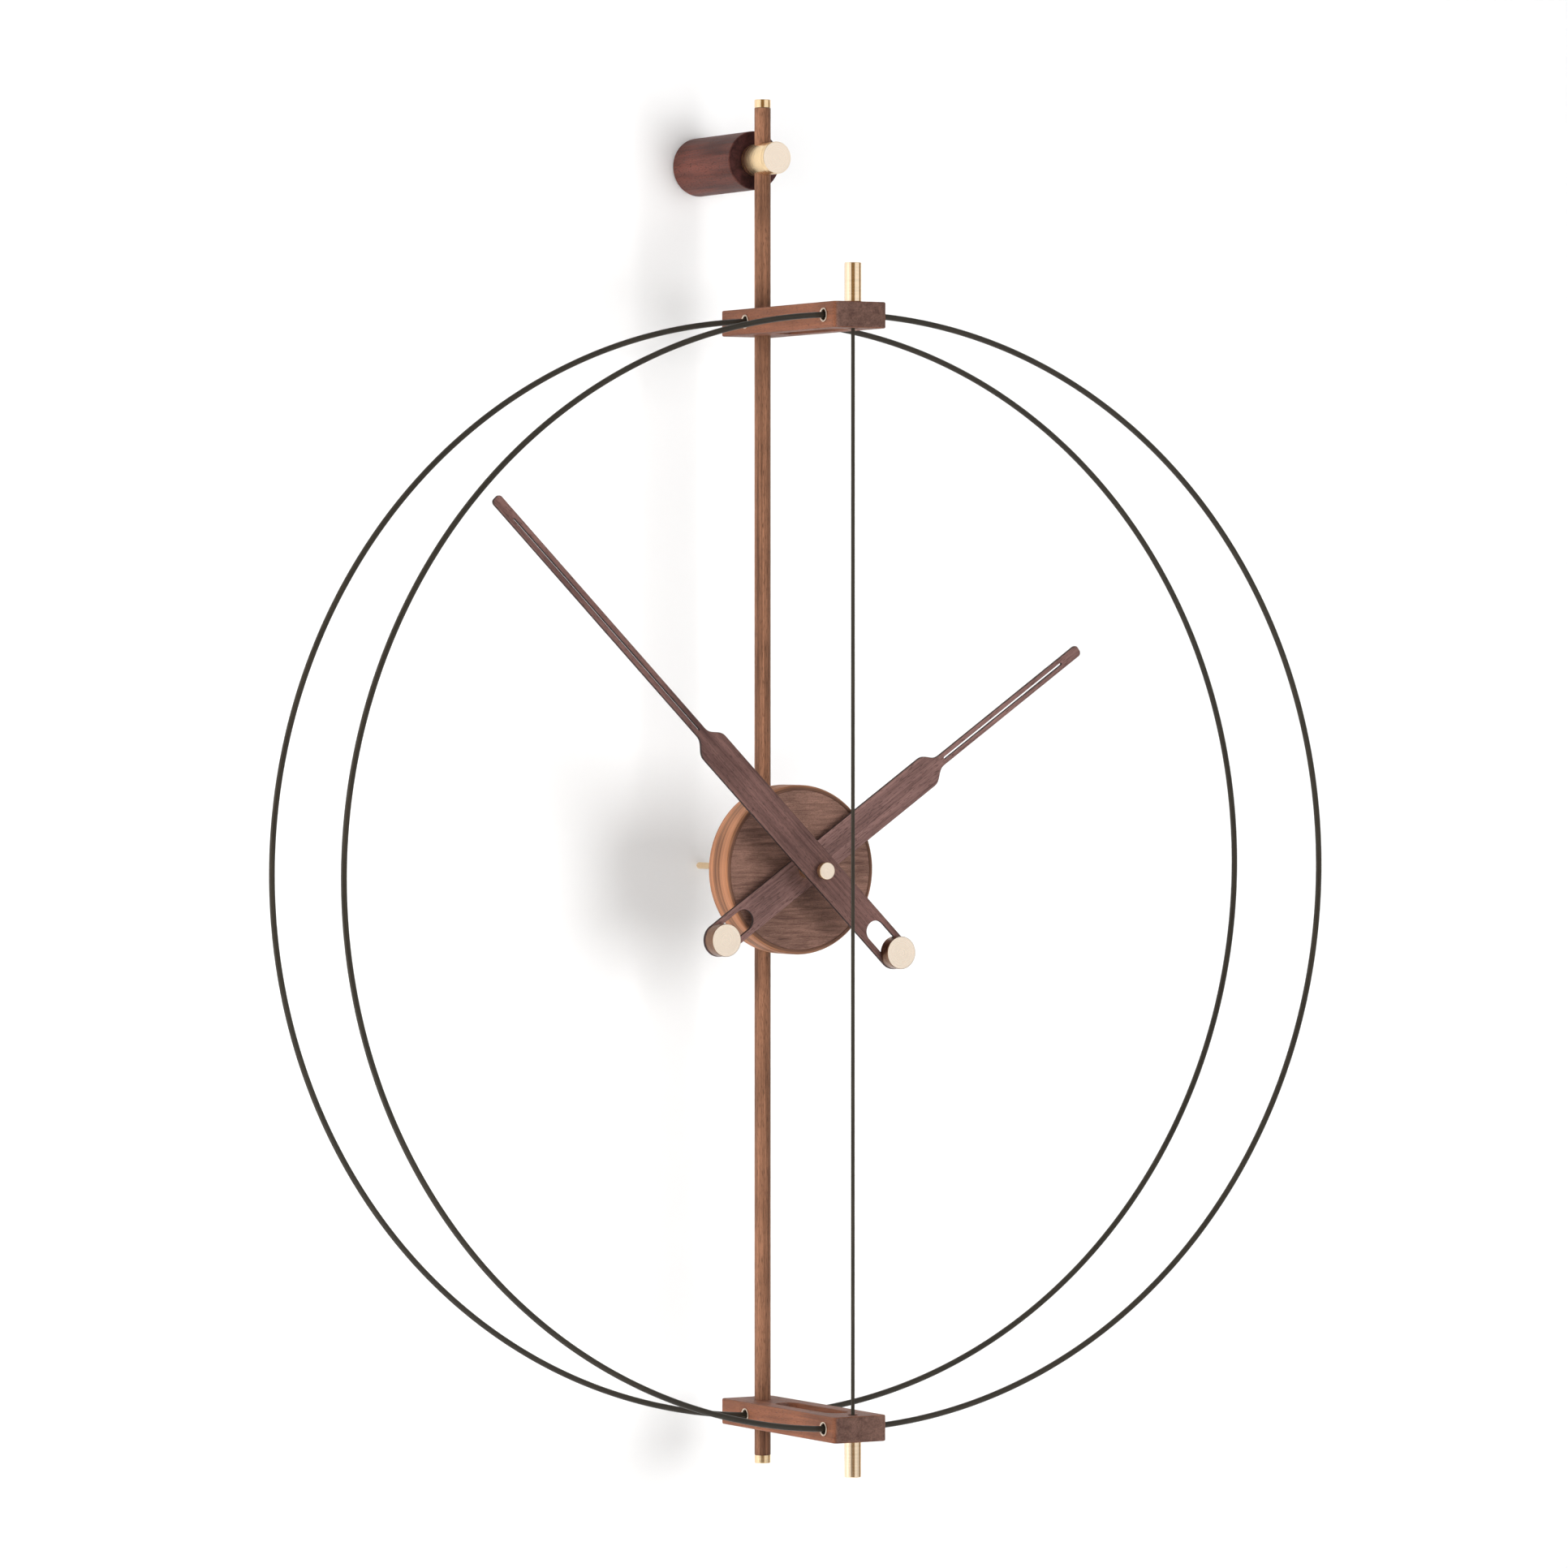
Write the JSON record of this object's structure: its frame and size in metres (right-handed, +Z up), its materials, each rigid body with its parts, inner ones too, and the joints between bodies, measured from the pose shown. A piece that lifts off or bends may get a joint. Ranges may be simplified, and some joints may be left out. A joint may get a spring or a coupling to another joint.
{
  "type": "wall clock",
  "caption": "Open wall clock: walnut upright hung from a brass clamp, sprung double hoops between slotted blocks, walnut drum with a battery movement and slotted counterweighted hands.",
  "frame": {"origin": "centre of the wall plate's rear face, on the wall, on the boss's axis", "axes": "+X right seen from the front, +Y into the wall, +Z up"},
  "size_m": [0.6644, 0.1963, 0.8168],
  "materials": {
    "walnut": "oiled walnut",
    "walnut_dark": "oiled dark walnut",
    "satin_brass": "satin",
    "steel": "brushed",
    "eyelet_metal": "polished",
    "hoop_fibre": "dark satin glass fibre",
    "black_plastic": "moulded",
    "pale_plastic": "moulded",
    "cell_jacket": "plain jacket, no label",
    "board_green": "solder resist",
    "copper_wire": "enamelled copper winding"
  },
  "bodies": {
    "bracket": {"wall_plate": "steel", "wall_boss": "walnut", "boss_grub_screw": "steel", "clamp_pivot_pin": "steel"},
    "clamp": {"clamp_barrel": "satin_brass", "clamp_pad": "pale_plastic"},
    "clamp_screw": {"clamp_cap": "satin_brass"},
    "frame": {"main_rod": "walnut", "rod_ferrule_top": "satin_brass", "rod_ferrule_bottom": "satin_brass", "upper_block": "walnut", "lower_block": "walnut", "rear_hoop_left": "hoop_fibre", "rear_hoop_right": "hoop_fibre", "front_hoop_left": "hoop_fibre", "front_hoop_right": "hoop_fibre", "tension_rod": "hoop_fibre", "eyelet_upper_rear_left": "eyelet_metal", "eyelet_upper_rear_right": "eyelet_metal", "eyelet_upper_front_left": "eyelet_metal", "eyelet_upper_front_right": "eyelet_metal", "eyelet_lower_rear_left": "eyelet_metal", "eyelet_lower_rear_right": "eyelet_metal", "eyelet_lower_front_left": "eyelet_metal", "eyelet_lower_front_right": "eyelet_metal", "block_screw_upper": "steel", "block_screw_lower": "steel", "rod_saddle": "satin_brass", "wall_spacer_pin": "satin_brass", "hub_rim": "walnut", "hub_face": "walnut_dark", "hub_back": "walnut", "hub_screw": "steel", "movement_case": "black_plastic", "movement_cover": "black_plastic", "battery_cell": "cell_jacket", "contact_positive": "steel", "contact_negative": "steel", "circuit_board": "board_green", "drive_coil": "copper_wire", "coil_stator": "steel", "fixing_washer": "satin_brass", "fixing_nut": "satin_brass"},
    "top_tensioner": {"tensioner_top": "satin_brass"},
    "bottom_tensioner": {"tensioner_bottom": "satin_brass"},
    "minute_works": {"minute_wheel": "satin_brass", "minute_bush": "satin_brass", "minute_hand": "walnut_dark", "minute_weight": "satin_brass", "minute_nut": "satin_brass"},
    "hour_works": {"hour_wheel": "satin_brass", "hour_bush": "satin_brass", "hour_hand": "walnut_dark", "hour_weight": "satin_brass"},
    "motion_works": {"motion_wheel": "pale_plastic", "setting_knob": "black_plastic"},
    "third_works": {"third_wheel": "pale_plastic"},
    "seconds_works": {"seconds_wheel": "pale_plastic"},
    "step_works": {"step_wheel": "pale_plastic"},
    "rotor_works": {"rotor": "steel"}
  },
  "joints": [
    {"name": "frame_swing", "type": "hinge", "parent": "bracket", "child": "clamp", "pos_m": [0, -0.0794, 0], "axis": [0, 1, 0], "range_deg": [-8, 8]},
    {"name": "clamp_cap_turn", "type": "hinge", "parent": "clamp", "child": "clamp_screw", "pos_m": [0, -0.0954, 0], "axis": [0, -1, 0], "range_deg": [0, 360]},
    {"name": "rod_slide", "type": "slide", "parent": "clamp", "child": "frame", "axis": [0, 0, 1], "range_m": [-0.02, 0.07]},
    {"name": "top_tensioner_turn", "type": "hinge", "parent": "frame", "child": "top_tensioner", "pos_m": [0, -0.1869, -0.0793], "axis": [0, 0, 1], "range_deg": [-180, 180]},
    {"name": "bottom_tensioner_turn", "type": "hinge", "parent": "frame", "child": "bottom_tensioner", "pos_m": [0, -0.1869, -0.7693], "axis": [0, 0, 1], "range_deg": [-180, 180]},
    {"name": "minute_turn", "type": "hinge", "parent": "frame", "child": "minute_works", "pos_m": [0, -0.1494, -0.4243], "axis": [0, 1, 0], "continuous": true},
    {"name": "hour_turn", "type": "hinge", "parent": "frame", "child": "hour_works", "pos_m": [0, -0.1294, -0.4243], "axis": [0, 1, 0], "continuous": true},
    {"name": "motion_turn", "type": "hinge", "parent": "frame", "child": "motion_works", "pos_m": [0.0106, -0.1134, -0.4137], "axis": [0, 1, 0], "continuous": true},
    {"name": "third_turn", "type": "hinge", "parent": "frame", "child": "third_works", "pos_m": [-0.0095, -0.1134, -0.4147], "axis": [0, 1, 0], "continuous": true},
    {"name": "seconds_turn", "type": "hinge", "parent": "frame", "child": "seconds_works", "pos_m": [-0.0159, -0.1134, -0.4211], "axis": [0, 1, 0], "continuous": true},
    {"name": "step_turn", "type": "hinge", "parent": "frame", "child": "step_works", "pos_m": [-0.0159, -0.1134, -0.4283], "axis": [0, 1, 0], "continuous": true},
    {"name": "rotor_turn", "type": "hinge", "parent": "frame", "child": "rotor_works", "pos_m": [-0.01065, -0.1134, -0.4283], "axis": [0, 1, 0], "continuous": true}
  ],
  "couplings": [
    {"joint": "hour_turn", "follows": "minute_turn", "ratio": 0.083333},
    {"joint": "motion_turn", "follows": "minute_turn", "ratio": -0.33333},
    {"joint": "third_turn", "follows": "minute_turn", "ratio": -8},
    {"joint": "seconds_turn", "follows": "minute_turn", "ratio": 60},
    {"joint": "step_turn", "follows": "minute_turn", "ratio": -300},
    {"joint": "rotor_turn", "follows": "minute_turn", "ratio": 1800}
  ]
}
